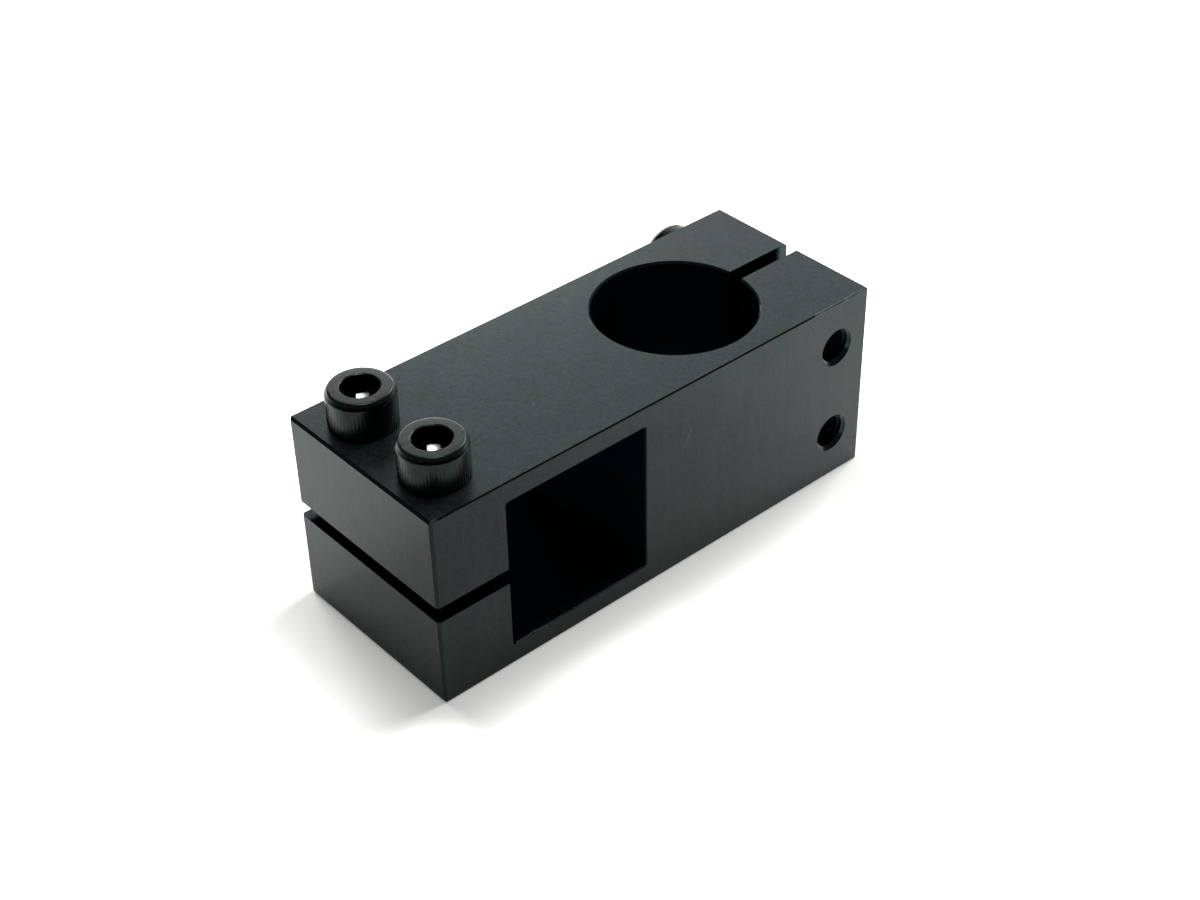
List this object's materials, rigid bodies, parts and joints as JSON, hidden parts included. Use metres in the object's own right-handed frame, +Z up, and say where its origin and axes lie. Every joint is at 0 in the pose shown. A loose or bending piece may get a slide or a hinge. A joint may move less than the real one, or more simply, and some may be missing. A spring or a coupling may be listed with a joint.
{
  "type": "perpendicular strut clamp",
  "caption": "Black slit clamp block that grips a square strut and a round strut at right angles, each jaw closed by socket head cap screws.",
  "frame": {"origin": "on the round strut's axis, at the block's underside", "axes": "+Z up along the round strut's axis; +X to the end that grips the round strut; the square strut runs along Y"},
  "size_m": [0.083, 0.038, 0.038],
  "materials": {
    "block": "black anodised, satin",
    "screw": "black oxide, oiled"
  },
  "bodies": {
    "block": {"clamp_block": "block"},
    "square_screw_front": {"square_jaw_screw_front": "screw"},
    "square_screw_rear": {"square_jaw_screw_rear": "screw"},
    "round_screw_lower": {"round_jaw_screw_lower": "screw"},
    "round_screw_upper": {"round_jaw_screw_upper": "screw"}
  },
  "joints": [
    {"name": "square_screw_front_turn", "type": "hinge", "parent": "block", "child": "square_screw_front", "pos_m": [-0.05105, -0.008, 0.032], "axis": [0, 0, 1], "range_deg": [0, 2790]},
    {"name": "square_screw_rear_turn", "type": "hinge", "parent": "block", "child": "square_screw_rear", "pos_m": [-0.05105, 0.008, 0.032], "axis": [0, 0, 1], "range_deg": [0, 2790]},
    {"name": "round_screw_lower_turn", "type": "hinge", "parent": "block", "child": "round_screw_lower", "pos_m": [0.01855, 0.016, 0.008], "axis": [0, 1, 0], "range_deg": [0, 2790]},
    {"name": "round_screw_upper_turn", "type": "hinge", "parent": "block", "child": "round_screw_upper", "pos_m": [0.01855, 0.016, 0.024], "axis": [0, 1, 0], "range_deg": [0, 2790]}
  ]
}
